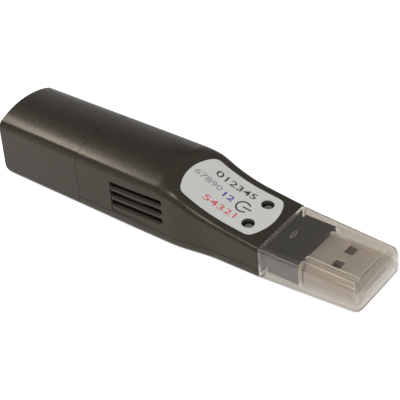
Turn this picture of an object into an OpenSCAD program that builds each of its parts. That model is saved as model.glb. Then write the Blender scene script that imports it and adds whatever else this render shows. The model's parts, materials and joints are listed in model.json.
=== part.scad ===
// Pocket temperature and humidity data logger: a stick housing with a humped battery end, a scooped
// label face, side air vents, a plug at the front under a clear pull-off cap, and a pull-off battery
// cover at the rear. X runs from the rear to the plug, Z is up, and the flat base rests on Z = 0.
// Every station along the body is measured from the rear face. The last lines move the model so that
// its origin lies under the middle of its length.

/* [Housing] */
// Length of the humped part, from the rear face to the start of the fall
hump_l = 46.4; // [45.4:0.1:47.4]
// Length of the fall, from the hump to the face that the clear cap meets
scoop_l = 30.3; // [29.5:0.1:31]
// Rise of the crown above the shoulders of the hump
crown_rise = 2.3; // [2:0.1:2.6]
// Air between the battery cell and the cover's roof and floor
cell_air = 0.2; // [0.2:0.05:0.4]
// Room at each side between the battery carrier and the cover
side_room = 1.65; // [1.5:0.05:1.9]
// How far each side of the hump leans in on its way up
rear_lean = 0.95; // [0.8:0.05:1.2]
// How far each side leans in at the front face
front_lean = 0.05; // [0:0.05:0.2]
// Width of the front face beside the plug housing, at each side
front_side = 1.6; // [1.5:0.05:1.75]
// Height of the front face above the plug housing
front_brow = 1.35; // [1.2:0.05:1.5]
// How much narrower the base is at the rear face than at the hump
rear_taper = 0.7; // [0.4:0.1:1]
// Radius of the long base edges
base_r = 1.3; // [1:0.1:1.8]
// Radius of the shoulder edges on the hump
shoulder_r = 2.3; // [1.8:0.1:2.6]
// Radius of the shoulder edges at the front face
front_shoulder_r = 1.2; // [1:0.1:1.4]
// Radius of the edge round the rear face
end_r = 0.6; // [0.4:0.1:1]
// Wall thickness of the upper and lower shells
wall = 1.2; // [1:0.1:1.3]
// Wall across the front of the shells, behind the clear cap
front_wall = 1.3; // [1:0.1:1.6]

/* [Scoop] */
// Radius of the brow that ends the hump
brow_r = 35; // [32:1:38]
// Radius of the hollow under the label
dip_r = 37; // [34:1:40]
// Angle at which the label face runs to the front
nose_a = 7.4; // [6.6:0.2:8]
// Angle at which the brow cuts into the crown
brow_a = 8; // [6:0.5:10]
// Length over which the crown fades out beside the brow
fade_l = 8; // [7:0.5:10]

/* [Split lines] */
// Station of the seam between the battery cover and the shells
seam_x = 25.6; // [24.6:0.2:26.6]
// Height of the parting line between the lower and upper shells
parting_z = 2.8; // [2.4:0.1:3.2]
// Gap that shows at the seam and at the parting line
seam_gap = 0.1; // [0.06:0.02:0.16]
// Wall thickness of the battery cover
cover_wall = 0.9; // [0.8:0.05:1]

/* [Side vents] */
// Number of slots in each vent panel
vent_count = 3; // [2:1:3]
// Overall length of one slot
vent_slot_l = 15.4; // [14:0.1:16]
// Height of one slot
vent_slot_h = 1.4; // [1:0.1:1.5]
// Distance between the slots
vent_pitch = 2.45; // [2.2:0.05:2.6]
// Height of the lowest slot's middle
vent_low_z = 5.5; // [5.2:0.1:5.8]
// Angle at which the slots rise towards the front
vent_rise_a = 2.5; // [1.5:0.1:3]
// Distance from the step at the vent recess's rear edge to the start of the fall
vent_back = 10.4; // [10:0.1:10.8]
// Length over which the vent recess runs out
vent_l = 16; // [15.6:0.2:16.4]
// Height of the vent recess
vent_h = 8; // [7.8:0.1:8.4]
// Depth of the vent recess at its step
vent_depth = 0.15; // [0.1:0.05:0.25]

/* [Label] */
// Distance between the label and the front face
label_front_gap = 1.8; // [1.4:0.1:2.4]
// Length of the label
label_l = 22.5; // [22:0.1:23]
// Width of the label
label_w = 13.7; // [13:0.1:14.2]
// Radius of the label's rear end
label_rear_r = 11; // [10:0.5:13]
// Radius of the label's front end
label_front_r = 12; // [10:0.5:16]
// Radius of the label's corners
label_corner_r = 2; // [1.5:0.1:2.4]
// Thickness of the label film
label_t = 0.2; // [0.15:0.05:0.25]
// Depth of the recess that the film lies in
label_recess = 0.25; // [0.25:0.05:0.35]

/* [Lamps and start key] */
// Distance of the two indicator lamps behind the front face
lamp_back = 6.05; // [5.8:0.05:6.3]
// Distance between the lamps
lamp_pitch = 7.4; // [7.2:0.1:7.6]
// Diameter of the lamp windows
lamp_hole_d = 3; // [2.6:0.1:3.2]
// Diameter of a lamp's lens
lamp_d = 3; // [2.8:0.1:3.1]
// Distance of the start key under the label behind the front face
key_back = 10.4; // [10.2:0.1:10.8]
// Diameter of the start key's plunger
key_d = 4.4; // [3.8:0.1:4.6]
// Travel of the start key
key_travel = 0.3; // [0.2:0.05:0.35]

/* [Plug] */
// Width of the plug's metal shield
plug_w = 12; // [11.9:0.05:12.1]
// Height of the plug's metal shield
plug_h = 4.5; // [4.4:0.05:4.6]
// Sheet thickness of the shield
plug_t = 0.3; // [0.25:0.05:0.35]
// Overall length of the shield
plug_l = 18.75; // [18:0.25:19.5]
// Length of the shield that stands out of the plug housing
plug_out = 12.6; // [12:0.2:13]
// Height of the shield's underside above the base
plug_low = 2.35; // [2.3:0.05:2.5]
// Length of a latch window
window_l = 2.2; // [2:0.1:2.4]
// Width of a latch window
window_w = 2.4; // [2:0.1:2.6]
// Distance between the latch windows
window_pitch = 5.16; // [5:0.08:5.4]

/* [Plug housing] */
// Length of the plug housing in front of the shells
nose_l = 9.6; // [9:0.2:10.2]
// Wall of the plug housing at each side of the shield
nose_side = 1.6; // [1.5:0.05:1.7]
// Wall of the plug housing above the shield
nose_over = 0.35; // [0.3:0.05:0.45]
// Wall of the plug housing under the shield
nose_under = 0.75; // [0.6:0.05:0.8]
// Radius of the plug housing's long edges
nose_r = 0.8; // [0.4:0.1:1]

/* [Clear cap] */
// Thickness of the cap's end in front of the plug
cap_end = 2.3; // [2:0.1:2.7]
// Wall of the cap's tip at each side of the plug
cap_tip_side = 2.3; // [2.1:0.1:2.5]
// Wall of the cap under the plug housing, at the rim
cap_floor = 1.05; // [0.9:0.05:1.1]
// Wall of the cap under the plug, at the tip
cap_tip_floor = 0.8; // [0.7:0.05:0.9]
// Wall of the cap above the plug housing, at the tip
cap_tip_roof = 0.45; // [0.4:0.05:0.6]
// Radius of the cap's upright tip corners
cap_tip_r = 1.5; // [1.2:0.1:1.8]
// Drop of the roof as it rounds into the clear cap's tip
cap_tip_drop = 2.2; // [1.8:0.1:2.5]
// Clearance between the cap and what it slides over
cap_gap = 0.25; // [0.2:0.05:0.3]
// Room in the cap in front of the plug
cap_tip_gap = 0.5; // [0.3:0.1:1]
// Height of the grip ribs inside the cap
cap_rib_h = 0.4; // [0.35:0.05:0.45]

/* [Battery] */
// Diameter of the half-size lithium cell
cell_d = 14.1; // [13.8:0.1:14.2]
// Length of the cell with its positive nub
cell_l = 25; // [24.5:0.1:25.2]
// Wall of the battery carrier at each side of the cell
carrier_wall = 1.15; // [1:0.05:1.3]

/* [Circuit board] */
// Thickness of the circuit board
board_t = 1; // [0.8:0.1:1.2]
// Room between the board's sides and the shells' walls
board_room = 0.5; // [0.4:0.1:0.8]

/* [Hidden] */
$fn = 48;
over = 1;

// Room between pieces
fit_gap = 0.05;
slide_gap = 0.15;

// Heights and widths that follow the cell at the rear and the plug at the front
carrier_w = cell_d + 2 * carrier_wall;
body_h = cell_d + 2 * cell_air + 2 * cover_wall;
shoulder_h = body_h - crown_rise;
rear_base_w = carrier_w + 2 * side_room + 2 * cover_wall;
rear_top_w = rear_base_w - 2 * rear_lean;
plug_top = plug_low + plug_h;
nose_top = plug_top + nose_over;
nose_low = plug_low - nose_under;
nose_w = plug_w + 2 * nose_side;
front_h = nose_top + front_brow;
front_base_w = nose_w + 2 * front_side;
front_top_w = front_base_w - 2 * front_lean;

// Stations that follow the housing's length
hump_end = hump_l;
body_l = hump_l + scoop_l;
label_x = body_l - label_front_gap - label_l;
lamp_x = body_l - lamp_back;
key_x = body_l - key_back;
vent_x = hump_end - vent_back;

// The fall of the top from the hump to the front: two arcs and a straight run.
// Its steepest angle is found by halving, so that the run ends at the front face's height.
crown_front = 0.15;
steepest = 60;
halvings = 40;
function fall(a) = brow_r * (cos(brow_a) - cos(a)) + dip_r * (cos(nose_a) - cos(a)) +
    (scoop_l - brow_r * (sin(a) - sin(brow_a)) - dip_r * (sin(a) - sin(nose_a))) * tan(nose_a);
function fall_angle(low, high, left) = let (a = (low + high) / 2)
    left == 0 ? a :
    fall(a) < body_h - front_h - crown_front ? fall_angle(a, high, left - 1) : fall_angle(low, a, left - 1);
steep_a = fall_angle(nose_a, steepest, halvings);
brow_centre_x = hump_end - brow_r * sin(brow_a);
brow_centre_z = body_h - brow_r * cos(brow_a);
brow_x = brow_centre_x + brow_r * sin(steep_a);
dip_centre_x = brow_x + dip_r * sin(steep_a);
dip_centre_z = brow_centre_z + brow_r * cos(steep_a) + dip_r * cos(steep_a);
dip_x = dip_centre_x - dip_r * sin(nose_a);
dip_end_z = dip_centre_z - dip_r * cos(nose_a);
crown_fade_lead = 3;
fade_x = hump_end + crown_fade_lead;
shoulder_blend = 0.6;
crown_blend = 0.4;

// Widths between the hump and the front
waist_lead = 6.7;
waist_x = hump_end + waist_lead;
waist_l = 13;
waist_more = 0.4;
waist_base_w = front_base_w + waist_more;
waist_top_w = front_top_w;
taper_back = 4;
taper_x = hump_end - taper_back;

// How finely the lofted skin is drawn
base_steps = 3;
shoulder_steps = 5;
crown_steps = 7;
loft_steps = 20;
end_steps = 4;
min_r = 0.35;

// Battery compartment
end_wall = 1.3;
cell_z = body_h / 2;
carrier_gap = 0.6;
carrier_x = end_wall + carrier_gap;
carrier_low = cover_wall + slide_gap;
carrier_over = 1.05;
carrier_top = cell_z + carrier_over;
carrier_end = 1.1;
plate_t = 0.35;
plate_w = 7;
spring_l = 2.4;
spring_wire = 0.5;
spring_turns = 3;
spring_wide = 9;
spring_slim = 5;
cell_x = carrier_x + carrier_end + plate_t;
spring_x = cell_x + cell_l;
carrier_l = carrier_end + plate_t + cell_l + spring_l + plate_t + carrier_end;
carrier_x1 = carrier_x + carrier_l;
bay_x = carrier_x1 + slide_gap;
nub_d = 5.5;
nub_l = 0.9;
strip_h = 3;
strip_z = cell_z - strip_h / 2 - plate_t;
tab_l = 2.2;
tongue_lap = 3;
tongue_low = carrier_top + slide_gap;
tongue_h = 2.8;
tongue_high = tongue_low + tongue_h;
tongue_wall = 0.7;

// Plug and its housing
nose_x0 = body_l - front_wall;
nose_x1 = body_l + nose_l;
flange_t = 1.1;
neck_in = 0.5;
neck_l = 1.6;
flange_in = 0.25;
plug_x1 = nose_x1 + plug_out;
plug_x0 = plug_x1 - plug_l;
tongue_t = 1.9;
tongue_in = 0.4;
contact_w = 1;
contact_t = 0.15;
contact_wide_pitch = 7;
contact_close_pitch = 2;
contact_lap = 1;
tail_l = 2.6;
window_back = 4.9;
nub_lead = 3.3;
nub_x = body_l + nub_lead;
nub_w = 2.6;
nub_len = 0.8;
nub_h = 0.15;

// Clear cap
cap_x0 = body_l + seam_gap;
cap_x1 = plug_x1 + cap_tip_gap + cap_end;
cap_low = nose_low - cap_gap - cap_floor;
cap_tip_low = plug_low - cap_gap - cap_tip_floor;
cap_tip_top = nose_top + cap_gap + cap_tip_roof;
cap_tip_w = plug_w + 2 * cap_gap + 2 * cap_tip_side;
cap_face_r = 0.85;
cap_edge_r = 0.9;
cap_roof_r = 1.4;
cap_lean = 0.4;
cap_steps = 5;
cap_pocket_x = nose_x1 + cap_gap;
rib_w = 0.8;
rib_pitch = 9.4;

// The cap's tip ends the whole logger
mid_x = cap_x1 / 2;

// Circuit board and its posts
board_rear_w = rear_top_w - 2 * wall - 2 * board_room;
board_front_w = front_top_w - 2 * wall - 2 * board_room;
board_top = plug_low + plug_t + tongue_t;
board_low = board_top - board_t;
board_gap = 0.5;
board_x = carrier_x1 + board_gap;
board_neck_x = waist_x + waist_l;
board_neck_room = 0.2;
board_neck_w = plug_w - 2 * plug_t - 2 * board_neck_room;
board_head_room = 1;
board_tip_x = nose_x0 - flange_t;
post_d = 2.4;
post_pin_d = 1;
post_hole_d = 1.2;
post_inset = 1.9;

// Tact switch and key
switch_w = 4.6;
switch_h = 1.8;
stem_d = 2;
stem_gap = 0.1;
stem_up = 0.7;
stem_in = 0.6;
key_flange_d = 5.6;
key_flange_t = 0.6;
key_gap = 0.15;
key_top_gap = 0.06;
stem_top = board_top + switch_h + stem_up;

// Lamps
lamp_flange_d = 3.4;
lamp_flange_t = 0.6;
lamp_in = 0.5;
leg_d = 0.5;
leg_hole_d = 0.8;
leg_pitch = 1.8;
leg_below = 0.6;

// Side vents
vent_sill = 0.35;
vent_step_gap = 0.1;
vent_low = parting_z + vent_sill;

// Chips and the air sensor
chip_w = 6;
chip_h = 1;
chip_lift = 0.1;
pin_w = 0.3;
pin_t = 0.2;
pin_out = 0.8;
pin_pitch = 0.8;
chip_pins = 7;
memory_l = 5;
memory_w = 3.9;
memory_h = 1.5;
memory_pins = 4;
memory_pitch = 1.27;
can_l = 6;
can_w = 2.4;
can_h = 1.6;
chip_gap = 1.3;
part_gap = 2.7;
chip_x = key_x - switch_w / 2 - chip_gap - pin_out - chip_w / 2;
small_x = chip_x - chip_w / 2 - pin_out - part_gap - memory_l / 2;
row_gap = 0.2;
sensor_l = 8;
sensor_w = 4;
sensor_h = 6.4;
sensor_hole = 0.9;
sensor_pitch = 1.7;
sensor_x = board_x + 2 * post_inset + sensor_l / 2;
memory_y = sensor_w - board_rear_w / 2 + row_gap + pin_out + memory_w / 2;
can_y = memory_y + memory_w / 2 + pin_out + row_gap + can_w / 2;
part_l = 1.6;
part_w = 0.8;
part_h = 0.5;
part_pitch = 1.9;
part_count = 4;
part_y = can_y + can_w / 2 + row_gap + part_l / 2;

// Smooth step from 0 to 1
function ease(t) = let (u = min(1, max(0, t))) u * u * (3 - 2 * u);
function blend(a, b, t) = a + (b - a) * t;

// The lower of two heights, rounded off where they come within a blend of each other
function lower(a, b, k) = k <= 0 ? min(a, b) : let (h = max(k - abs(a - b), 0) / k) min(a, b) - h * h * k / 4;

// Height on the centre plane of the surface that cuts down the hump towards the label
function cut_z(x) =
    x <= hump_end ? body_h + (hump_end - x) * tan(brow_a) :
    x <= brow_x ? brow_centre_z + sqrt(brow_r * brow_r - (x - brow_centre_x) * (x - brow_centre_x)) :
    x <= dip_x ? dip_centre_z - sqrt(dip_r * dip_r - (x - dip_centre_x) * (x - dip_centre_x)) :
    dip_end_z - (x - dip_x) * tan(nose_a);

// Height of the shoulder line at a station
function top_z(x) = lower(shoulder_h, cut_z(x) - crown_front, shoulder_blend);

// Half width at the base or at the shoulder, from its rear, waist and front widths
function half_w(x, rear, middle, front) =
    x < taper_x ? (rear - rear_taper * (taper_x - x) / taper_x) / 2 :
    x < waist_x + waist_l ? blend(rear, middle, ease((x - waist_x) / waist_l)) / 2 :
    blend(middle, front, (x - waist_x - waist_l) / (body_l - waist_x - waist_l)) / 2;
function base_half(x) = half_w(x, rear_base_w, waist_base_w, front_base_w);
function top_half(x) = half_w(x, rear_top_w, waist_top_w, front_top_w);
function crown(x) = blend(crown_rise, crown_front, ease((x - fade_x) / fade_l));
function edge_r(x) = blend(shoulder_r, front_shoulder_r, ease((x - waist_x) / waist_l));

// Points of an arc about a centre in the YZ plane, from one angle to another
function arc(c, r, a0, a1, steps) =
    [for (i = [0:steps]) let (a = blend(a0, a1, i / steps)) [c[0] + r * cos(a), c[1] + r * sin(a)]];

// Right half of a cross-section: a flat base, a leaning side and a crowned top with rounded corners,
// cut off at a height with a soft edge
function half_section(hb, ht, z0, z1, rise, rb, rs, cut, soft) =
    let (
        lean = atan((hb - ht) / (z1 - z0)),
        base_c = [hb - rb * tan(lean) - rb / cos(lean), z0 + rb],
        big = (ht * ht + rise * rise) / (2 * rise),
        big_z = z1 + rise - big,
        a = hb + z0 * tan(lean) - rs / cos(lean),
        t = tan(lean),
        q = (big - rs) * (big - rs),
        m = a * t + big_z,
        zc = (m + sqrt(m * m - (t * t + 1) * (a * a + big_z * big_z - q))) / (t * t + 1),
        yc = a - t * zc,
        phi = atan2(zc - big_z, yc)
    )
    concat(
        arc(base_c, rb, -90, lean, base_steps),
        [for (p = concat(
            arc([yc, zc], rs, lean, phi, shoulder_steps),
            [for (i = [1:crown_steps]) let (s = blend(phi, 90, i / crown_steps))
                [big * cos(s), big_z + big * sin(s)]]))
            [p[0], lower(p[1], cut, soft)]]
    );

// Whole outline, from the half: the mirrored half runs back without its shared crown point
function whole_section(half) =
    concat(half, [for (i = [len(half) - 2:-1:0]) [-half[i][0], half[i][1]]]);
function ring(x, pts) = [for (p = pts) [x, p[0], p[1]]];

// Cross-section of the housing at a station, moved inwards by an inset
function body_ring(x, inset) =
    ring(x, whole_section(half_section(
        base_half(x) - inset, top_half(x) - inset, inset, top_z(x) - inset, crown(x),
        max(base_r - inset, min_r), max(edge_r(x) - inset, min_r),
        cut_z(x) - inset, crown_blend * (crown(x) - crown_front) / crown_rise)));

// Stations between two ends, denser over the scoop
function stations(x0, x1) =
    concat([x0],
        [for (x = concat([taper_x], [for (i = [0:loft_steps]) blend(fade_x, dip_x, i / loft_steps)]))
            if (x > x0 + min_r && x < x1 - min_r) x],
        [x1]);

// Solid through a list of rings with equal numbers of points
module loft(rings) {
    n = len(rings[0]);
    m = len(rings);
    polyhedron(
        points = [for (r = rings) each r],
        faces = concat(
            [[for (i = [0:n - 1]) i]],
            [for (k = [0:m - 2], i = [0:n - 1], s = [0, 1])
                let (a = k * n + i, b = k * n + (i + 1) % n)
                s == 0 ? [a, b + n, b] : [a, a + n, b + n]],
            [[for (i = [n - 1:-1:0]) (m - 1) * n + i]]),
        convexity = 6);
}

// The housing's form between two stations, moved inwards by an inset
module body_form(x0, x1, inset) {
    loft([for (x = stations(x0, x1)) body_ring(x, inset)]);
}

// The same with the rear face and its rounded edge
module body_form_rear(x1) {
    loft(concat(
        [for (i = [0:end_steps]) let (a = 90 * i / end_steps)
            body_ring(end_r * (1 - cos(a)), end_r * (1 - sin(a)))],
        [for (x = stations(end_r, x1)) if (x > end_r) body_ring(x, 0)]));
}

// A block given by its two corners
module block(low, high) {
    translate(low) cube(high - low);
}

module rod(x, y, z0, z1, d) {
    translate([x, y, z0]) cylinder(d = d, h = z1 - z0);
}

// A block with rounded long edges along X
module rounded_bar(x0, x1, w, z0, z1, r) {
    block([x0, -w / 2, z0 + r], [x1, w / 2, z1 - r]);
    block([x0, -w / 2 + r, z0], [x1, w / 2 - r, z1]);
    for (y = [-w / 2 + r, w / 2 - r], z = [z0 + r, z1 - r])
        translate([x0, y, z]) rotate([0, 90, 0]) cylinder(r = r, h = x1 - x0);
}

// Battery cover: the rear of the housing, open towards the front
module battery_cover() {
    color([0.16, 0.15, 0.14])
    difference() {
        body_form_rear(seam_x - seam_gap);
        body_form(end_wall, seam_x + over, cover_wall);
    }
}

// Both shells before the parting line divides them
module shell_blank() {
    difference() {
        body_form(seam_x, body_l, 0);
        body_form(seam_x - over, nose_x0, wall);
        body_form(seam_x - over, bay_x, cover_wall);
    }
}

// Neck of the plug housing, which the two shells hold between them
module nose_neck(x0, x1, gap) {
    rounded_bar(x0, x1, nose_w - 2 * neck_in + 2 * gap, nose_low + neck_in - gap, nose_top - neck_in + gap, nose_r);
}

module label_outline(more) {
    offset(r = label_corner_r + more) offset(delta = -label_corner_r)
    intersection() {
        translate([label_x, -label_w / 2]) square([label_l, label_w]);
        translate([label_x + label_rear_r, 0])
            union() {
                circle(r = label_rear_r);
                translate([0, -label_w]) square([label_l, 2 * label_w]);
            }
        translate([label_x + label_l - label_front_r, 0])
            union() {
                circle(r = label_front_r);
                translate([-label_l, -label_w]) square([label_l, 2 * label_w]);
            }
    }
}

// Space above an inset copy of the top, within the label's outline
module label_space(more, depth) {
    difference() {
        translate([0, 0, parting_z]) linear_extrude(body_h) label_outline(more);
        body_form(label_x - over, label_x + label_l + over, depth);
    }
}

// Shallow recess round the slots: it starts with a step and runs out towards the front
module vent_recess() {
    x0 = vent_x;
    x1 = vent_x + vent_l;
    slope = vent_depth / vent_l;
    difference() {
        block([x0, -rear_base_w, vent_low], [x1, rear_base_w, vent_low + vent_h]);
        loft([body_ring(x0 - over, vent_depth + slope * over), body_ring(x1 + over, -slope * over)]);
    }
}

module vent_slot(z) {
    r = vent_slot_h / 2;
    reach = 2 * rear_base_w;
    run = vent_slot_l - 2 * r;
    translate([vent_x + vent_step_gap + r, 0, z]) rotate([0, -vent_rise_a, 0]) {
        block([0, -reach / 2, -r], [run, reach / 2, r]);
        for (x = [0, run])
            translate([x, -reach / 2, 0]) rotate([-90, 0, 0]) cylinder(r = r, h = reach);
    }
}

// Side tongues that guide the battery cover onto the shells
module cover_tongues() {
    x0 = seam_x - tongue_lap;
    x1 = seam_x + tongue_lap;
    difference() {
        union() {
            intersection() {
                body_form(x0, x1, cover_wall + slide_gap);
                block([x0, -rear_base_w, tongue_low], [x1, rear_base_w, tongue_high]);
            }
            intersection() {
                body_form(seam_x, x1, cover_wall / 2);
                block([seam_x, -rear_base_w, tongue_low], [x1, rear_base_w, tongue_high]);
            }
        }
        body_form(x0 - over, x1 + over, cover_wall + slide_gap + tongue_wall);
    }
}

module upper_shell() {
    color([0.17, 0.16, 0.15]) {
    cover_tongues();
    difference() {
        shell_blank();
        block([0, -rear_base_w, -over], [cap_x1, rear_base_w, parting_z]);
        nose_neck(nose_x0 - over, body_l + over, fit_gap);
        label_space(fit_gap, label_recess);
        vent_recess();
        for (i = [0:vent_count - 1])
            vent_slot(vent_low_z + i * vent_pitch);
        for (side = [-1, 1])
            rod(lamp_x, side * lamp_pitch / 2, board_top, body_h, lamp_hole_d);
        rod(key_x, 0, board_top, body_h, key_d + 2 * key_gap);
    }
    }
}

// Places of the posts that carry the board
function post_places() = [
    for (s = [-1, 1]) [board_x + post_inset, s * (board_rear_w / 2 - post_inset)],
    for (s = [-1, 1]) [waist_x + waist_l - post_inset, s * (board_front_w / 2 - post_inset)]];

module lower_shell() {
    color([0.19, 0.18, 0.17])
    union() {
        difference() {
            shell_blank();
            block([0, -rear_base_w, parting_z - seam_gap], [cap_x1, rear_base_w, body_h + over]);
            nose_neck(nose_x0 - over, body_l + over, fit_gap);
        }
        for (p = post_places()) {
            rod(p[0], p[1], wall, board_low, post_d);
            rod(p[0], p[1], wall, board_top, post_pin_d);
        }
    }
}

// Printed film that lies in the recess of the upper shell
module label() {
    color([0.84, 0.85, 0.83])
    difference() {
        intersection() {
            translate([0, 0, parting_z]) linear_extrude(body_h) label_outline(0);
            body_form(label_x - over, label_x + label_l + over, label_recess - label_t);
        }
        body_form(label_x - 2 * over, label_x + label_l + 2 * over, label_recess);
        for (side = [-1, 1])
            rod(lamp_x, side * lamp_pitch / 2, board_top, body_h, lamp_hole_d);
    }
}

// Key plunger under the film: a flanged pin whose top leans with the film
module start_key() {
    key_slope = atan((top_z(key_x - key_d / 2) - top_z(key_x + key_d / 2)) / key_d);
    key_top = top_z(key_x) + crown_front - label_recess - key_top_gap;
    color([0.25, 0.25, 0.26])
    difference() {
        union() {
            rod(key_x, 0, stem_top, stem_top + key_flange_t, key_flange_d);
            rod(key_x, 0, stem_top, body_h, key_d);
        }
        translate([key_x, 0, key_top]) rotate([0, key_slope, 0])
            block([-body_l, -body_h, 0], [body_l, body_h, body_h]);
    }
}

module switch_stem() {
    color([0.1, 0.1, 0.1])
    rod(key_x, 0, board_top + switch_h - stem_in, stem_top, stem_d);
}

module tact_switch() {
    color([0.7, 0.7, 0.72])
    difference() {
        block([key_x - switch_w / 2, -switch_w / 2, board_top],
            [key_x + switch_w / 2, switch_w / 2, board_top + switch_h]);
        rod(key_x, 0, board_top + switch_h - stem_in - key_travel - stem_gap, board_top + switch_h + over,
            stem_d + 2 * stem_gap);
    }
}

// Round indicator lamp with its flange and two legs
module lamp(side) {
    lamp_dome_z = top_z(lamp_x) + crown_front - wall + lamp_in - lamp_d / 2;
    y = side * lamp_pitch / 2;
    rod(lamp_x, y, board_top, board_top + lamp_flange_t, lamp_flange_d);
    rod(lamp_x, y, board_top, lamp_dome_z, lamp_d);
    translate([lamp_x, y, lamp_dome_z]) sphere(d = lamp_d);
    for (s = [-1, 1])
        rod(lamp_x + s * leg_pitch / 2, y, board_low - leg_below, board_top + lamp_flange_t, leg_d);
}
module record_lamp() { color([0.75, 0.85, 0.75]) lamp(1); }
module alarm_lamp() { color([0.85, 0.6, 0.55]) lamp(-1); }

// Circuit board, stepped to pass the waist and to enter the plug housing
module circuit_board() {
    color([0.08, 0.33, 0.2])
    difference() {
        translate([0, 0, board_low]) linear_extrude(board_t) polygon([
            [board_x, -board_rear_w / 2], [waist_x, -board_rear_w / 2],
            [board_neck_x, -board_front_w / 2], [board_tip_x - fit_gap, -board_front_w / 2],
            [board_tip_x - fit_gap, -board_neck_w / 2], [plug_x0 - fit_gap, -board_neck_w / 2],
            [plug_x0 - fit_gap, board_neck_w / 2], [board_tip_x - fit_gap, board_neck_w / 2],
            [board_tip_x - fit_gap, board_front_w / 2], [board_neck_x, board_front_w / 2],
            [waist_x, board_rear_w / 2], [board_x, board_rear_w / 2]]);
        for (p = post_places())
            rod(p[0], p[1], board_low - over, board_top + over, post_hole_d);
        for (side = [-1, 1], s = [-1, 1])
            rod(lamp_x + s * leg_pitch / 2, side * lamp_pitch / 2, board_low - over, board_top + over,
                leg_hole_d);
    }
}

// Flat chip with pins along two or four sides
module microcontroller() {
    x = chip_x;
    color([0.06, 0.06, 0.07]) {
        block([x - chip_w / 2, -chip_w / 2, board_top + chip_lift],
            [x + chip_w / 2, chip_w / 2, board_top + chip_h]);
        for (turn = [0:90:270])
            translate([x, 0, board_top]) rotate([0, 0, turn])
            for (i = [0:chip_pins - 1])
                block([chip_w / 2 - pin_t, (i - (chip_pins - 1) / 2) * pin_pitch - pin_w / 2, 0],
                    [chip_w / 2 + pin_out, (i - (chip_pins - 1) / 2) * pin_pitch + pin_w / 2, chip_lift + pin_t]);
    }
}

module memory_chip() {
    x = small_x;
    y = memory_y;
    color([0.08, 0.08, 0.09]) {
        block([x - memory_l / 2, y - memory_w / 2, board_top + chip_lift],
            [x + memory_l / 2, y + memory_w / 2, board_top + memory_h]);
        for (i = [0:memory_pins - 1], s = [-1, 1])
            translate([x + (i - (memory_pins - 1) / 2) * memory_pitch, y + s * memory_w / 2, board_top])
                block([-pin_w / 2, -pin_out, 0], [pin_w / 2, pin_out, chip_lift + pin_t]);
    }
}

module crystal_can() {
    x = small_x;
    y = can_y;
    color([0.75, 0.75, 0.76])
    translate([x, y, board_top]) {
        block([-can_l / 2 + can_w / 2, -can_w / 2, 0], [can_l / 2 - can_w / 2, can_w / 2, can_h]);
        for (s = [-1, 1]) rod(s * (can_l - can_w) / 2, 0, 0, can_h, can_w);
    }
}

// Air sensor beside the right vents, with a grid of breathing holes
module air_sensor() {
    x = sensor_x;
    y = -board_rear_w / 2 + sensor_w / 2;
    color([0.2, 0.2, 0.2])
    difference() {
        block([x - sensor_l / 2, y - sensor_w / 2, board_top],
            [x + sensor_l / 2, y + sensor_w / 2, board_top + sensor_h]);
        for (i = [-1.5:1:1.5], k = [-1:1:1])
            translate([x + i * sensor_pitch, y - sensor_w / 2 - over, board_top + sensor_h / 2 + k * sensor_pitch])
                rotate([-90, 0, 0]) cylinder(d = sensor_hole, h = over + sensor_w / 2);
    }
}

module resistors() {
    x = board_x + 2 * post_inset;
    y = part_y;
    color([0.3, 0.25, 0.2])
    for (i = [0:part_count - 1])
        translate([x + i * part_pitch, y, board_top])
            block([-part_w / 2, -part_l / 2, 0], [part_w / 2, part_l / 2, part_h]);
}

// Carrier: an open trough for the cell with a wall at each end
module battery_carrier() {
    y1 = carrier_w / 2;
    color([0.12, 0.12, 0.12])
    difference() {
        block([carrier_x, -y1, carrier_low], [carrier_x1, y1, carrier_top]);
        translate([carrier_x + carrier_end, 0, cell_z]) rotate([0, 90, 0])
            cylinder(d = cell_d + 2 * slide_gap, h = carrier_l - 2 * carrier_end);
        block([carrier_x + carrier_end, y1 - plate_t - fit_gap, strip_z - fit_gap],
            [carrier_x1 + over, y1 + over, body_h]);
        block([carrier_x + carrier_end, 0, strip_z - fit_gap],
            [carrier_x + carrier_end + plate_t + fit_gap, y1 + over, body_h]);
    }
}

module battery_cell() {
    color([0.75, 0.2, 0.2])
    translate([cell_x, 0, cell_z]) rotate([0, 90, 0]) {
        translate([0, 0, nub_l]) cylinder(d = cell_d, h = cell_l - nub_l);
        cylinder(d = nub_d, h = cell_l - nub_l);
    }
}

// Positive plate at the rear of the carrier, with a strip along the carrier to the board
module positive_contact() {
    y1 = carrier_w / 2;
    x0 = carrier_x + carrier_end;
    color([0.8, 0.8, 0.82]) {
        block([x0, -plate_w / 2, strip_z], [x0 + plate_t, y1, strip_z + strip_h]);
        block([x0, y1 - plate_t, strip_z], [carrier_x1 + tab_l, y1, strip_z + strip_h]);
        block([board_x, y1 - plate_t, board_top], [carrier_x1 + tab_l, y1, strip_z + strip_h]);
        block([board_x, y1 - 2 * over, board_top], [carrier_x1 + tab_l, y1, board_top + plate_t]);
    }
}

// Conical spring that presses on the can's base
module negative_spring() {
    steps = 12;
    sides = 6;
    n = spring_turns * steps;
    rise = spring_l - spring_wire;
    color([0.8, 0.8, 0.8])
    loft([for (k = [0:n]) let (
            a = 360 * k / steps,
            t = k / n,
            r = blend(spring_slim, spring_wide, t) / 2)
        [for (j = [sides - 1:-1:0]) let (b = 360 * j / sides, q = r + spring_wire / 2 * cos(b))
            [spring_x + spring_wire / 2 + rise * t + spring_wire / 2 * sin(b), q * cos(a), cell_z + q * sin(a)]]]);
}

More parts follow.
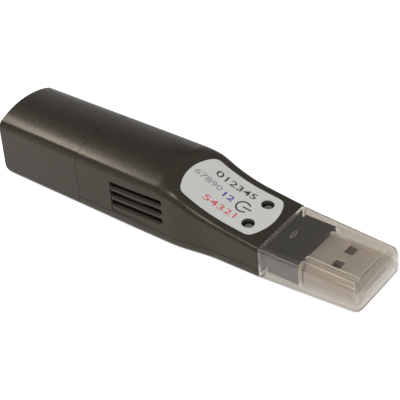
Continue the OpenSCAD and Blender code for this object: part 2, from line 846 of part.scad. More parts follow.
// Plate behind the spring; its tab folds over the carrier's wall down to the board
module negative_tab() {
    x = spring_x + spring_l;
    x1 = carrier_x1 + fit_gap;
    w = strip_h / 2;
    z1 = carrier_top + fit_gap;
    color([0.8, 0.8, 0.82]) {
        block([x, -plate_w / 2, cell_z - plate_w / 2], [x + plate_t, plate_w / 2, z1 + plate_t]);
        block([x, -w, z1], [x1 + plate_t, w, z1 + plate_t]);
        block([x1, -w, board_top], [x1 + plate_t, w, z1 + plate_t]);
        block([x1, -w, board_top], [carrier_x1 + tab_l, w, board_top + plate_t]);
    }
}

// Block round the plug: its neck passes the front wall and its flange sits behind that wall
module plug_housing() {
    x0 = nose_x0 - flange_t;
    x1 = plug_x0 - fit_gap;
    color([0.13, 0.12, 0.12])
    difference() {
        union() {
            rounded_bar(body_l + neck_l, nose_x1, nose_w, nose_low, nose_top, nose_r);
            nose_neck(x0, body_l + neck_l + over, 0);
            rounded_bar(x0, nose_x0 - fit_gap, nose_w, nose_low, nose_top - neck_in + flange_in, nose_r);
            block([nub_x - nub_len / 2, -nub_w / 2, nose_top - plate_t],
                [nub_x + nub_len / 2, nub_w / 2, nose_top + nub_h]);
        }
        block([x0 - over, -board_neck_w / 2 - board_neck_room, board_low - board_neck_room],
            [plug_x0 + over, board_neck_w / 2 + board_neck_room, board_top + board_head_room]);
        block([x1, -plug_w / 2 - fit_gap, plug_low - fit_gap],
            [nose_x1 + over, plug_w / 2 + fit_gap, plug_top + fit_gap]);
    }
}

// Folded metal shield with its latch windows
module plug_shield() {
    color([0.78, 0.77, 0.74])
    difference() {
        rounded_bar(plug_x0, plug_x1, plug_w, plug_low, plug_top, plug_t);
        block([plug_x0 - over, -plug_w / 2 + plug_t, plug_low + plug_t],
            [plug_x1 + over, plug_w / 2 - plug_t, plug_top - plug_t]);
        for (s = [-1, 1])
            block([plug_x1 - window_back - window_l, s * window_pitch / 2 - window_w / 2, 0],
                [plug_x1 - window_back, s * window_pitch / 2 + window_w / 2, body_h]);
    }
}

module plug_tongue() {
    z0 = plug_low + plug_t;
    y1 = plug_w / 2 - plug_t - fit_gap;
    color([0.92, 0.92, 0.9])
    difference() {
        block([plug_x0, -y1, z0], [plug_x1 - tongue_in, y1, z0 + tongue_t]);
        for (y = contact_places())
            block([plug_x0 - over, y - contact_w / 2 - fit_gap, board_top - contact_t - fit_gap],
                [plug_x1 - 2 * tongue_in, y + contact_w / 2 + fit_gap, board_top + over]);
    }
}

// The four contacts: the outer pair stands further from the inner pair
function contact_places() = [for (s = [-1, 1], w = [contact_close_pitch, contact_wide_pitch]) s * w / 2];

module plug_contacts() {
    color([0.85, 0.68, 0.3])
    for (y = contact_places()) {
        block([plug_x0, y - contact_w / 2, board_top - contact_t],
            [plug_x1 - 3 * tongue_in, y + contact_w / 2, board_top]);
        block([plug_x0 - tail_l, y - contact_w / 2, board_top],
            [plug_x0 + contact_lap, y + contact_w / 2, board_top + contact_t]);
    }
}

// Outline of the clear cap at a station, given by a share of the taper and of the rounding at the tip
function cap_ring(x, share, round) =
    ring(x, whole_section(half_section(
        blend(front_base_w, cap_tip_w, share) / 2 - round * cap_tip_r,
        blend(front_top_w, cap_tip_w - cap_lean, share) / 2 - round * cap_tip_r,
        blend(cap_low, cap_tip_low, share) + round * cap_face_r,
        blend(front_h, cap_tip_top, share) - round * cap_tip_drop,
        crown_front, cap_edge_r, cap_roof_r, body_h, 0)));

// Pocket behind the plug housing, then a lower one round the plug with two grip ribs in its roof
module cap_pockets() {
    block([cap_x0 - over, -nose_w / 2 - cap_gap, nose_low - cap_gap],
        [cap_pocket_x, nose_w / 2 + cap_gap, nose_top + cap_gap]);
    difference() {
        block([cap_x0 - over, -plug_w / 2 - cap_gap, plug_low - cap_gap],
            [plug_x1 + cap_tip_gap, plug_w / 2 + cap_gap, nose_top + cap_gap]);
        for (s = [-1, 1])
            block([cap_pocket_x, s * rib_pitch / 2 - rib_w / 2, nose_top + cap_gap - cap_rib_h],
                [plug_x1 + over, s * rib_pitch / 2 + rib_w / 2, body_h]);
    }
}

module clear_cap() {
    x1 = cap_x1;
    color([0.8, 0.78, 0.75, 0.4])
    difference() {
        loft(concat(
            [cap_ring(cap_x0, 0, 0)],
            [for (i = [0:cap_steps]) let (a = 90 * i / cap_steps)
                cap_ring(x1 - cap_tip_r * (1 - sin(a)), 1, 1 - cos(a))]));
        cap_pockets();
    }
}

translate([-mid_x, 0, 0]) {
    battery_cover();
    upper_shell();
    lower_shell();
    label();
    start_key();
    switch_stem();
    tact_switch();
    record_lamp();
    alarm_lamp();
    circuit_board();
    microcontroller();
    memory_chip();
    crystal_can();
    air_sensor();
    resistors();
    battery_carrier();
    battery_cell();
    positive_contact();
    negative_spring();
    negative_tab();
    plug_housing();
    plug_shield();
    plug_tongue();
    plug_contacts();
    clear_cap();
}
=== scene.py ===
import json
import math

import bpy
from bpy.props import FloatProperty, FloatVectorProperty, PointerProperty
from mathutils import Matrix, Quaternion, Vector

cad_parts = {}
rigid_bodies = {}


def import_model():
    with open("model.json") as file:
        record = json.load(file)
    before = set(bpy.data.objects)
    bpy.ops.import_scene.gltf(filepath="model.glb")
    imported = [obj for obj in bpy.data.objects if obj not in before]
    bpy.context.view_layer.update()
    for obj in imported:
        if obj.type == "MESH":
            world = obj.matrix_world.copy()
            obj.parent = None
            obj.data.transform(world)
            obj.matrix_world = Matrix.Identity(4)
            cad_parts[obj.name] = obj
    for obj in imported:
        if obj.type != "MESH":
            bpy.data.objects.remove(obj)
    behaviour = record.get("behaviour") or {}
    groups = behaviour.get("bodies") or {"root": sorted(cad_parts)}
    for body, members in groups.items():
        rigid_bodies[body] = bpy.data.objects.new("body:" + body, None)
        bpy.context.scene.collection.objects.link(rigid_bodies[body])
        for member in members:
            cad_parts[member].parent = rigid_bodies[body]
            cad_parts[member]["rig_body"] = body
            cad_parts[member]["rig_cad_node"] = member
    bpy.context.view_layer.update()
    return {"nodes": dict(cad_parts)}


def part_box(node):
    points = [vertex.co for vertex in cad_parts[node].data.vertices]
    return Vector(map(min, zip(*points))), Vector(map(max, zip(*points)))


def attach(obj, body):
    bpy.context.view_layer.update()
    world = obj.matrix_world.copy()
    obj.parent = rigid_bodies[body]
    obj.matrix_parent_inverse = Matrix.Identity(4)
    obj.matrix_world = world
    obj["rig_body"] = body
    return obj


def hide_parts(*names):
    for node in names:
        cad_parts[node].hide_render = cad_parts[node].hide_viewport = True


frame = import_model()

bl_info = {
    "name": "Pocket climate logger",
    "version": (1, 0, 0),
    "blender": (4, 5, 0),
    "location": "View3D > Sidebar > Logger",
    "description": "Dresses a stick-shaped temperature and humidity logger with its finishes",
    "category": "Object",
}

MM = 0.001
# Places along the housing are measured from its rear face, as in the part's source
REAR_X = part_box("battery_cover")[0].x
# Height in millimetres from which the printed marks are laid down on the film
PRINT_HEIGHT = 20
# Angle in degrees from which an edge is sharp enough to be rounded
SHARP_ANGLE = 40


def at(x, y, z):
    """A place in the frame, given in millimetres from the foot of the rear face"""
    return Vector((REAR_X + x * MM, y * MM, z * MM))


def toward(turn, tilt):
    """The direction from the logger to a place at a turn and a tilt, given in degrees"""
    a, e = math.radians(turn), math.radians(tilt)
    return Vector((math.sin(a) * math.cos(e), -math.cos(a) * math.cos(e), math.sin(e)))


# Selecting and editing
def deselect():
    """Leaves edit mode with nothing selected, so that the next operator acts on its own object only"""
    if bpy.context.object and bpy.context.object.mode != "OBJECT":
        bpy.ops.object.mode_set(mode="OBJECT")
    bpy.ops.object.select_all(action="DESELECT")


def activate(obj):
    """Selects one object and makes it the active one"""
    deselect()
    obj.hide_viewport = False
    obj.select_set(True)
    bpy.context.view_layer.objects.active = obj
    return obj


def settle(obj):
    """Puts the object's place, turn and size into its mesh"""
    activate(obj)
    bpy.ops.object.transform_apply(location=True, rotation=True, scale=True)
    return obj


def edit(obj):
    """Opens edit mode with the whole mesh selected"""
    activate(obj)
    bpy.ops.object.mode_set(mode="EDIT")
    bpy.ops.mesh.select_all(action="SELECT")


def modify(obj, kind, **values):
    """Adds a modifier, sets its values and applies it"""
    activate(obj)
    bpy.ops.object.modifier_add(type=kind)
    mod = obj.modifiers[-1]
    for key, value in values.items():
        setattr(mod, key, value)
    bpy.ops.object.modifier_apply(modifier=mod.name)
    return obj


def cut(obj, tool):
    """Cuts the tool's shape out of the object and deletes the tool"""
    modify(obj, "BOOLEAN", operation="DIFFERENCE", object=tool, solver="EXACT")
    activate(tool)
    bpy.ops.object.delete()


def round_edges(obj, width, segments=2, **more):
    """Rounds the sharp edges"""
    return modify(obj, "BEVEL", width=width, segments=segments, limit_method="ANGLE",
                  angle_limit=math.radians(SHARP_ANGLE), use_clamp_overlap=True,
                  miter_outer="MITER_ARC", **more)


def mark_round_edges(obj, width, segments):
    """Rounds and smooths, and returns the rounded faces' numbers, so that they can get their own finish"""
    obj.data.materials.clear()
    for _ in range(2):
        obj.data.materials.append(None)
    smooth(round_edges(obj, width, segments, material=1))
    return {face.index for face in obj.data.polygons if face.material_index == 1}


def smooth(obj, angle=35, weighted=True):
    """Shades the object smooth up to an angle, with large faces kept looking flat"""
    activate(obj)
    bpy.ops.object.shade_smooth_by_angle(angle=math.radians(angle), keep_sharp_edges=False)
    if weighted:
        modify(obj, "WEIGHTED_NORMAL", mode="FACE_AREA_WITH_ANGLE", weight=50, keep_sharp=True)
    return obj


def flat_ring(centre, radius, vertices, inner, stretch=(1, 1, 1)):
    """A flat ring: a stretched circle, whose edges are drawn inwards to shares of its size"""
    deselect()
    bpy.ops.mesh.primitive_circle_add(vertices=vertices, radius=radius, fill_type="NOTHING", location=centre)
    ring = bpy.context.object
    ring.scale = stretch
    edit(settle(ring))
    bpy.ops.mesh.extrude_edges_move()
    bpy.ops.transform.resize(value=inner, center_override=centre)
    bpy.ops.object.mode_set(mode="OBJECT")
    return ring


# From a CAD node to a finished piece
def carry(name, flat=0.3):
    """A merged copy of a CAD node, with the faces that lie flat within an angle made whole"""
    same_place = 1e-6
    activate(frame["nodes"][name])
    bpy.ops.object.duplicate()
    obj = bpy.context.object
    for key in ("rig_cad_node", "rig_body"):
        if key in obj:
            del obj[key]
    obj.parent = None
    obj.matrix_world = Matrix.Identity(4)
    edit(obj)
    bpy.ops.mesh.remove_doubles(threshold=same_place)
    bpy.ops.mesh.dissolve_limited(angle_limit=math.radians(flat), use_dissolve_boundaries=False)
    bpy.ops.object.mode_set(mode="OBJECT")
    return obj


def finish_piece(obj, name, body, slot, material, *replaced):
    """Names a piece, gives it its finish and hands it to the frame"""
    obj.name = name
    obj.data.name = name
    obj.data.materials.clear()
    obj.data.materials.append(material)
    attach(obj, body)
    if replaced:
        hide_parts(*replaced)
    return obj


def dress(name, slot, material, rounding, body="housing"):
    """A finished piece in the shape of its CAD node, with rounded edges"""
    obj = smooth(round_edges(carry(name), rounding))
    return finish_piece(obj, name + "_piece", body, slot, material, name)


def paint(obj, material, chosen):
    """Gives a second finish to the faces that a test picks by place or direction"""
    obj.data.materials.append(material)
    last = len(obj.data.materials) - 1
    for face in obj.data.polygons:
        if chosen(face):
            face.material_index = last


def upright(face):
    """Tells whether a face stands within 30 degrees of upright"""
    return abs(face.normal.z) < 0.5


# Materials
def feed(mat, into, value):
    """Sets a socket to a value, or joins it to an output that is given in its place"""
    if isinstance(value, bpy.types.NodeSocket):
        mat.node_tree.links.new(value, into)
    else:
        into.default_value = value


def node(mat, kind, **values):
    """Adds a shader node. A value goes to the socket of its name, or else to the node's own setting"""
    made = mat.node_tree.nodes.new(kind)
    for key, value in values.items():
        socket = key.replace("_", " ")
        if socket in made.inputs:
            feed(mat, made.inputs[socket], value)
        else:
            setattr(made, key, value)
    return made


def calc(mat, operation, *values):
    """The result of a Math node on numbers and other nodes' outputs"""
    made = node(mat, "ShaderNodeMath", operation=operation)
    for into, value in zip(made.inputs, values):
        feed(mat, into, value)
    return made.outputs[0]


def give(mat, **sockets):
    """Feeds sockets of the material's main shader"""
    shader = mat.node_tree.nodes["Principled BSDF"]
    for key, value in sockets.items():
        feed(mat, shader.inputs[key.replace("_", " ")], value)


def new_material(name, color, roughness, **sockets):
    """A material of one colour, with its main shader's sockets set"""
    mat = bpy.data.materials.new(name)
    mat.use_nodes = True
    give(mat, Base_Color=(*color[:3], 1), Roughness=roughness, **sockets)
    return mat


def place_on(mat):
    """The Object coordinates, which stay with the piece when it moves"""
    return node(mat, "ShaderNodeTexCoord").outputs["Object"]


def noise(mat, scale, detail=3.0, roughness=0.6):
    """Noise with its scale in cells per metre"""
    cells = node(mat, "ShaderNodeTexNoise", Vector=place_on(mat), Scale=scale, Detail=detail,
                 Roughness=roughness)
    return cells.outputs["Fac"]


def vary_color(mat, source, low, high, stops=(0.35, 0.65)):
    """Leads the colour from one tone to another between two values of the source"""
    ramp = node(mat, "ShaderNodeValToRGB", Fac=source)
    for stop, position, tone in zip(ramp.color_ramp.elements, stops, (low, high)):
        stop.position = position
        stop.color = (*tone, 1)
    give(mat, Base_Color=ramp.outputs["Color"])


def vary_roughness(mat, source, low, high):
    """Leads the roughness from one value to another over the middle of the noise"""
    spread = node(mat, "ShaderNodeMapRange", Value=source, From_Min=0.3, From_Max=0.7,
                  To_Min=low, To_Max=high)
    give(mat, Roughness=spread.outputs["Result"])


def bump(mat, source, distance):
    """Lifts the surface's look by the source, over a distance in metres"""
    raised = node(mat, "ShaderNodeBump", Height=source, Distance=distance, Strength=1)
    give(mat, Normal=raised.outputs["Normal"])


def textured_plastic(name, color, grain, depth, roughness=(0.36, 0.5), spread=0.12, gloss=0.5, pearl=0):
    """Moulded plastic with a fine spark-eroded grain, and with a pearl finish where it is asked for"""
    mat = new_material(name, color, sum(roughness) / 2, Specular_IOR_Level=gloss, Metallic=pearl)
    fine = noise(mat, grain, detail=4, roughness=0.65)
    vary_color(mat, fine, [c * (1 - spread) for c in color], [c * (1 + spread) for c in color])
    vary_roughness(mat, fine, *roughness)
    bump(mat, fine, depth)
    return mat


def plated_metal(name, color):
    """Plating with slightly clouded colour and polish"""
    darker, lighter = 0.94, 1.04
    mat = new_material(name, color, roughness=0.35, Metallic=1)
    clouds = noise(mat, scale=260, detail=2)
    vary_color(mat, clouds, [c * darker for c in color], [min(1, c * lighter) for c in color])
    vary_roughness(mat, noise(mat, scale=2600, detail=2), low=0.3, high=0.4)
    return mat


# Sizes and colours that a user would change
class LoggerLooks(bpy.types.PropertyGroup):
    housing_color: FloatVectorProperty(
        name="Housing", description="Colour of the satin housing", subtype="COLOR",
        default=(0.0545, 0.046, 0.0345), min=0, max=1)
    label_color: FloatVectorProperty(
        name="Label", description="Colour of the printed film", subtype="COLOR",
        default=(0.62, 0.625, 0.597), min=0, max=1)
    cap_color: FloatVectorProperty(
        name="Cap", description="Tint of the clear cap", subtype="COLOR",
        default=(0.81, 0.775, 0.72), min=0, max=1)
    cap_density: FloatProperty(
        name="Cap density", description="How fast the cap's plastic takes up light",
        default=360, min=0, max=1000)
    metal_color: FloatVectorProperty(
        name="Plug metal", description="Colour of the plated shield", subtype="COLOR",
        default=(0.95, 0.9, 0.84), min=0, max=1)
    edge_round: FloatProperty(
        name="Edge rounding", description="Radius of the seam edges", unit="LENGTH",
        default=0.05 * MM, min=0.02 * MM, max=0.2 * MM)
    pearl: FloatProperty(
        name="Pearl", description="How metallic the housing's satin finish looks",
        default=0.6, min=0, max=1)
    pin_reach: FloatProperty(
        name="Pin reach", description="How far a chip's pins stand out from its body", unit="LENGTH",
        default=0.75 * MM, min=0.1 * MM, max=1 * MM)
    heel_round: FloatProperty(
        name="Heel rounding", description="Radius of the battery cover's low rear corner", unit="LENGTH",
        default=3.8 * MM, min=0.5 * MM, max=4 * MM)
    sill_slope: FloatProperty(
        name="Sill slope", description="Width of the sloped sills under the vent slots", unit="LENGTH",
        default=0.45 * MM, min=0.1 * MM, max=0.6 * MM)
    grain_size: FloatProperty(
        name="Grain", description="Cells of the housing's grain per metre",
        default=2800, min=500, max=20000)
    key_light: FloatProperty(
        name="Key light", description="Power of the main softbox",
        default=0.18, min=0, max=50)
    fill_light: FloatProperty(
        name="Fill light", description="Power of the softbox above the near shoulder",
        default=1.75, min=0, max=50)
    mark_lift: FloatProperty(
        name="Mark lift", description="How far the printed marks stand on the film", unit="LENGTH",
        default=0.02 * MM, min=0.005 * MM, max=0.05 * MM)


def looks():
    """The sizes and colours that are set for this scene"""
    return bpy.context.scene.logger_looks


# The stage and the pieces
class LOGGER_OT_stage(bpy.types.Operator):
    """Sets the camera, the floor, the softboxes and the background"""
    bl_idname = "logger.stage"
    bl_label = "Stage"

    def execute(self, context):
        self.camera(context.scene)
        self.floor()
        self.lights()
        self.background(context.scene)
        context.scene.view_settings.view_transform = "Standard"
        return {"FINISHED"}

    def camera(self, scene):
        """Stands where the photograph was taken from, as solved from the plug's known size"""
        turn, tilt, roll = 42.144, 38.2385, math.radians(-6.8475)
        lens, distance, target = 111.9757, 281.47, at(54.808, -0.766, 7.202)
        back, right = toward(turn, tilt), toward(turn + 90, 0)
        up = back.cross(right)
        across = right * math.cos(roll) + up * math.sin(roll)
        upward = up * math.cos(roll) - right * math.sin(roll)
        deselect()
        bpy.ops.object.camera_add()
        cam = bpy.context.object
        cam.name = "photo_camera"
        place = target + back * distance * MM
        cam.matrix_world = Matrix((
            (across.x, upward.x, back.x, place.x),
            (across.y, upward.y, back.y, place.y),
            (across.z, upward.z, back.z, place.z),
            (0, 0, 0, 1)))
        cam.data.sensor_width = 36
        cam.data.lens = lens
        cam.data.clip_start, cam.data.clip_end = 0.01, 20
        scene.camera = cam

    def floor(self):
        """A pale floor just under the logger"""
        drop = 0.02 * MM
        deselect()
        bpy.ops.mesh.primitive_plane_add(size=4, location=(0, 0, -drop))
        floor = settle(bpy.context.object)
        floor.name = "floor"
        floor.data.materials.append(self.floor_paint())

    def floor_paint(self):
        """Matt and pale, with a glow for the camera, for clear plastic and, dimmer, for mirror images"""
        bright_level, mirrored_level = 0.75, 0.52
        mat = bpy.data.materials.new("pale_floor")
        mat.use_nodes = True
        mat.node_tree.nodes.clear()
        path = node(mat, "ShaderNodeLightPath").outputs
        seen = calc(mat, "MAXIMUM", path["Is Camera Ray"], path["Is Transmission Ray"])
        bright = calc(mat, "MULTIPLY", seen, bright_level)
        mirrored = calc(mat, "MULTIPLY", path["Is Glossy Ray"], mirrored_level)
        level = calc(mat, "MAXIMUM", bright, mirrored)
        matt = node(mat, "ShaderNodeBsdfDiffuse", Color=(0.8, 0.8, 0.8, 1))
        glow = node(mat, "ShaderNodeEmission", Color=(1, 1, 1, 1), Strength=level)
        both = node(mat, "ShaderNodeAddShader")
        for into, part in zip(both.inputs, (matt, glow)):
            feed(mat, into, part.outputs[0])
        node(mat, "ShaderNodeOutputMaterial", Surface=both.outputs[0])
        return mat

    def lights(self):
        """Four softboxes, with the main one above the rear end, and a grey card"""
        key, fill = looks().key_light, looks().fill_light
        low_share, front_share = 0.07, 0.4
        self.softbox("key_softbox", turn=-85.5, tilt=48.5, distance=0.35, size=(0.056, 0.062), power=key)
        self.softbox("brow_softbox", turn=-12, tilt=66, distance=0.8, size=(0.28, 0.32), power=fill)
        self.softbox("low_softbox", turn=-42, tilt=13, distance=0.8, size=(0.16, 0.28),
                     power=fill * low_share)
        self.softbox("front_softbox", turn=75, tilt=35, distance=0.8, size=(0.3, 0.3),
                     power=fill * front_share)
        self.card("grey_card", turn=-137.6, tilt=40, distance=0.5, size=(0.32, 0.19))

    def softbox(self, name, turn, tilt, distance, size, power):
        """An area light that faces the logger"""
        back = toward(turn, tilt)
        deselect()
        bpy.ops.object.light_add(type="AREA", location=back * distance)
        lamp = bpy.context.object
        lamp.name = name
        lamp.rotation_euler = back.to_track_quat("Z", "Y").to_euler()
        lamp.data.shape = "RECTANGLE"
        lamp.data.size, lamp.data.size_y = size
        lamp.data.energy = power

    def card(self, name, turn, tilt, distance, size):
        """Hangs a grey card that keeps the clear cap's top from mirroring the pale room"""
        back = toward(turn, tilt)
        deselect()
        bpy.ops.mesh.primitive_plane_add(size=1, location=back * distance,
                                         rotation=back.to_track_quat("Z", "Y").to_euler())
        card = bpy.context.object
        card.scale = (*size, 1)
        settle(card)
        card.name = name
        card.data.materials.append(new_material("grey_paper", (0.35, 0.35, 0.35), roughness=0.9))

    def background(self, scene):
        """A pale room: white to the camera and through clear plastic, dimmer as a light"""
        world = bpy.data.worlds.new("pale_room")
        scene.world = world
        world.use_nodes = True
        world.node_tree.nodes.clear()
        path = node(world, "ShaderNodeLightPath").outputs
        seen = calc(world, "MAXIMUM", path["Is Camera Ray"], path["Is Transmission Ray"])
        level = node(world, "ShaderNodeMapRange", Value=seen, To_Min=0.48, To_Max=1)
        plain = node(world, "ShaderNodeBackground", Color=(1, 1, 1, 1), Strength=level.outputs["Result"])
        node(world, "ShaderNodeOutputWorld", Surface=plain.outputs["Background"])


class LOGGER_OT_housing(bpy.types.Operator):
    """Dresses the two shells and the battery cover in satin textured plastic"""
    bl_idname = "logger.housing"
    bl_label = "Housing"

    def execute(self, context):
        plastic = textured_plastic("satin_housing_plastic", looks().housing_color, grain=looks().grain_size,
                                   depth=6e-6, roughness=(0.25, 0.31), gloss=0.25, pearl=looks().pearl)
        pale = textured_plastic("window_wall_plastic", (0.07, 0.067, 0.058), grain=3000, depth=1e-5,
                                roughness=(0.5, 0.6))
        upper = carry("upper_shell")
        self.slope_sills(upper)
        self.skin(upper, "upper_shell", "housing", plastic)
        paint(upper, pale, self.window_walls())
        self.skin(carry("lower_shell"), "lower_shell", "housing", plastic)
        cover = carry("battery_cover")
        self.round_heel(cover)
        self.skin(cover, "battery_cover", "cover", plastic)
        return {"FINISHED"}

    def skin(self, obj, name, body, material):
        """Rounds a shell's seam edges and finishes it"""
        smooth(round_edges(obj, looks().edge_round))
        finish_piece(obj, name + "_skin", body, "housing_plastic", material, name)

    def window_walls(self):
        """A test for the walls of the two lamp windows, which look paler than the housing's outside"""
        lamps = [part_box(name) for name in ("record_lamp", "alarm_lamp")]
        air = 0.3 * MM

        def beside(face, low, high):
            return (face.center - (low + high) / 2).xy.length < (high.x - low.x) / 2 + air

        def chosen(face):
            return upright(face) and any(beside(face, *lamp) for lamp in lamps)
        return chosen

    def round_heel(self, cover):
        """Rounds the low rear corner, with a block that has the round hollowed out of it"""
        radius, width, corner = looks().heel_round, 40 * MM, at(0, 0, 0)
        deselect()
        bpy.ops.mesh.primitive_cube_add(size=1, location=corner)
        block = bpy.context.object
        block.scale = (2 * radius, width, 2 * radius)
        settle(block)
        deselect()
        bpy.ops.mesh.primitive_cylinder_add(
            vertices=64, radius=radius, depth=2 * width, location=corner + Vector((radius, 0, radius)),
            rotation=(math.radians(90), 0, 0))
        cut(block, settle(bpy.context.object))
        cut(cover, block)

    def slope_sills(self, shell):
        """Cuts a slope along the outer edge of each vent slot's sill, with square bars turned on edge"""
        width = looks().sill_slope * math.sqrt(2)
        on_edge = Quaternion((1, 0, 0), math.radians(45))
        rear_x, rear_side, rear_height = 36.8, 10.23, 4.8
        front_x, front_side, front_height = 50.8, 10.37, 5.41
        rows, row_lean, row_rise = 3, 0.172, 2.45
        bars = []
        for side in (-1, 1):
            for row in range(rows):
                rear = at(rear_x, side * (rear_side - row_lean * row), rear_height + row_rise * row)
                front = at(front_x, side * (front_side - row_lean * row), front_height + row_rise * row)
                turn = (front - rear).to_track_quat("X", "Z") @ on_edge
                deselect()
                bpy.ops.mesh.primitive_cube_add(size=1, location=(rear + front) / 2,
                                                rotation=turn.to_euler())
                bar = bpy.context.object
                bar.scale = ((front - rear).length, width, width)
                bars.append(settle(bar))
        deselect()
        for bar in bars:
            bar.select_set(True)
        bpy.context.view_layer.objects.active = bars[0]
        bpy.ops.object.join()
        cut(shell, bpy.context.object)


class LOGGER_OT_label(bpy.types.Operator):
    """Dresses the label film and prints its generic marks"""
    bl_idname = "logger.label"
    bl_label = "Label"

    def execute(self, context):
        paper = textured_plastic("printed_film", looks().label_color, grain=9000, depth=4e-6,
                                 roughness=(0.3, 0.4), spread=0.02)
        film = smooth(round_edges(carry("label"), width=0.05 * MM, segments=1))
        finish_piece(film, "label_film", "housing", "label_film", paper, "label")
        inks = {}
        for tone, color, digits, start, end, middle, height, weight in (
                ("black", (0.03, 0.03, 0.028), "012345", 56.9, 67.4, 3.85, 1.75, 0.006),
                ("grey", (0.3, 0.3, 0.32), "67890", 53.5, 60.4, 0.6, 1.6, 0.006),
                ("blue", (0.07, 0.07, 0.38), "12", 61.4, 64.1, 0, 1.6, 0.016),
                ("red", (0.75, 0.12, 0.13), "54321", 58.8, 67.2, -3.65, 1.75, 0.006)):
            inks[tone] = textured_plastic(tone + "_ink", color, grain=7000, depth=2e-6,
                                          roughness=(0.35, 0.45), spread=0.08)
            mark = self.number(digits, start, end, middle, height, weight)
            self.print_on(film, mark, tone + "_number", inks[tone])
        ring, bar = self.start_mark()
        self.print_on(film, ring, "start_ring_mark", inks["black"])
        self.print_on(film, bar, "start_bar_mark", inks["black"])
        return {"FINISHED"}

    def print_on(self, film, mark, name, ink):
        """Lays a flat mark on the film and gives it a thin body"""
        lift = looks().mark_lift
        settle(mark)
        modify(mark, "SHRINKWRAP", target=film, wrap_method="PROJECT", use_project_z=True,
               use_negative_direction=True, use_positive_direction=True, offset=lift)
        modify(mark, "SOLIDIFY", thickness=2 * lift, offset=-1)
        finish_piece(mark, name, "housing", "label_film", ink)

    def number(self, digits, start, end, middle, height, weight):
        """Flat digits that reach from start to end along the housing, given in millimetres"""
        deselect()
        bpy.ops.object.text_add(location=(0, 0, 0))
        text = bpy.context.object.data
        text.body = digits
        text.size = 1
        text.resolution_u = 3
        text.offset = weight
        bpy.ops.object.convert(target="MESH")
        mark = bpy.context.object
        edit(mark)
        bpy.ops.mesh.quads_convert_to_tris()
        bpy.ops.mesh.subdivide(number_cuts=1)
        bpy.ops.object.mode_set(mode="OBJECT")
        xs, ys = ([vertex.co[axis] for vertex in mark.data.vertices] for axis in (0, 1))
        wide = (end - start) * MM / (max(xs) - min(xs))
        tall = height * MM / (max(ys) - min(ys))
        place = at(start, middle - height / 2, PRINT_HEIGHT)
        mark.scale = (wide, tall, 1)
        mark.location = (place.x - min(xs) * wide, place.y - min(ys) * tall, place.z)
        return mark

    def start_mark(self):
        """A broken ring, and a bar that runs through its gap"""
        centre, half_gap = at(66.85, -0.3, PRINT_HEIGHT), math.radians(38)
        outer, inner = 1.78 * MM, 1.4 * MM
        bar_offset, bar_length, bar_width = 1.05 * MM, 2.2 * MM, 0.38 * MM
        ring = flat_ring(centre, outer, vertices=72, inner=(inner / outer, inner / outer, 1))
        for face in ring.data.polygons:
            spot = face.center - centre
            face.select = abs(math.atan2(spot.y, spot.x)) < half_gap
        bpy.ops.object.mode_set(mode="EDIT")
        bpy.ops.mesh.select_mode(type="FACE")
        bpy.ops.mesh.delete(type="FACE")
        deselect()
        bpy.ops.mesh.primitive_plane_add(size=1, location=centre + Vector((bar_offset, 0, 0)))
        bar = bpy.context.object
        bar.scale = (bar_length, bar_width, 1)
        edit(settle(bar))
        bpy.ops.mesh.subdivide(number_cuts=5)
        bpy.ops.object.mode_set(mode="OBJECT")
        return ring, bar


class LOGGER_OT_lamps(bpy.types.Operator):
    """Dresses the two indicator lamps and the start key"""
    bl_idname = "logger.lamps"
    bl_label = "Lamps and key"

    def execute(self, context):
        for name, slot, color in (
                ("record_lamp", "lamp_green", (0.09, 0.09, 0.075)),
                ("alarm_lamp", "lamp_red", (0.09, 0.083, 0.072))):
            lens = self.lens_with_painted_glow(slot + "_lens", color)
            finish_piece(smooth(carry(name)), name + "_lens", "housing", slot, lens, name)
        dark = textured_plastic("inner_plastic", (0.03, 0.03, 0.03), grain=5000, depth=1e-5)
        for name in ("start_key", "switch_stem"):
            dress(name, "inner_plastic", dark, rounding=0.08 * MM, body="key")
        return {"FINISHED"}

    def lens_with_painted_glow(self, name, color):
        """Unlit lamp plastic with a faint painted glow, which stands in for a little of the room's light
        passing through it
        """
        # Painted light: a faint warm emission on a lamp that is not lit
        lens = new_material(name, color, roughness=0.4, Emission_Color=(1, 0.94, 0.8, 1),
                            Emission_Strength=0.035)
        bump(lens, noise(lens, scale=1500), distance=3e-6)
        return lens


class LOGGER_OT_plug(bpy.types.Operator):
    """Dresses the plug housing, the shield, the tongue and the contacts"""
    bl_idname = "logger.plug"
    bl_label = "Plug"

    def execute(self, context):
        black = textured_plastic("black_plug_plastic", (0.023, 0.0195, 0.015), grain=6000, depth=8e-6,
                                 roughness=(0.32, 0.42), spread=0.1, gloss=0.15)
        metal = plated_metal("plated_shield", looks().metal_color)
        white = textured_plastic("tongue_plastic", (0.75, 0.75, 0.72), grain=5000, depth=5e-6)
        gold = plated_metal("gold_contacts", (0.83, 0.62, 0.28))
        dress("plug_housing", "black_plastic", black, rounding=0.2 * MM)
        dress("plug_shield", "plug_metal", metal, rounding=0.05 * MM)
        dress("plug_tongue", "white_plastic", white, rounding=0.1 * MM)
        dress("plug_contacts", "contact_gold", gold, rounding=0.03 * MM)
        self.nub_rim()
        return {"FINISHED"}

    def nub_rim(self):
        """Adds the polished oval rim round the grip nub, in a light colour that paints the fine highlight
        outline which it shows
        """
        # Painted highlight: the rim is given a pale colour so that it shows as a light outline on the black
        # plug
        polished_rim_highlight = textured_plastic("polished_rim_highlight_plastic", (0.7, 0.67, 0.6), grain=5000, depth=2e-6,
                                    roughness=(0.12, 0.18), spread=0.05, gloss=0.6)
        nub_x, half_length, half_width = 80, 0.44, 1.42
        thickness, rounding = 0.08 * MM, 0.03 * MM
        centre = at(nub_x, 0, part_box("plug_housing")[1].z / MM)
        rim = flat_ring(centre, MM, vertices=40, inner=(0.62, 0.9, 1), stretch=(half_length, half_width, 1))
        modify(rim, "SOLIDIFY", thickness=thickness, offset=0)
        modify(rim, "BEVEL", width=rounding, segments=2, limit_method="ANGLE")
        finish_piece(smooth(rim), "nub_rim", "housing", "black_plastic", polished_rim_highlight)


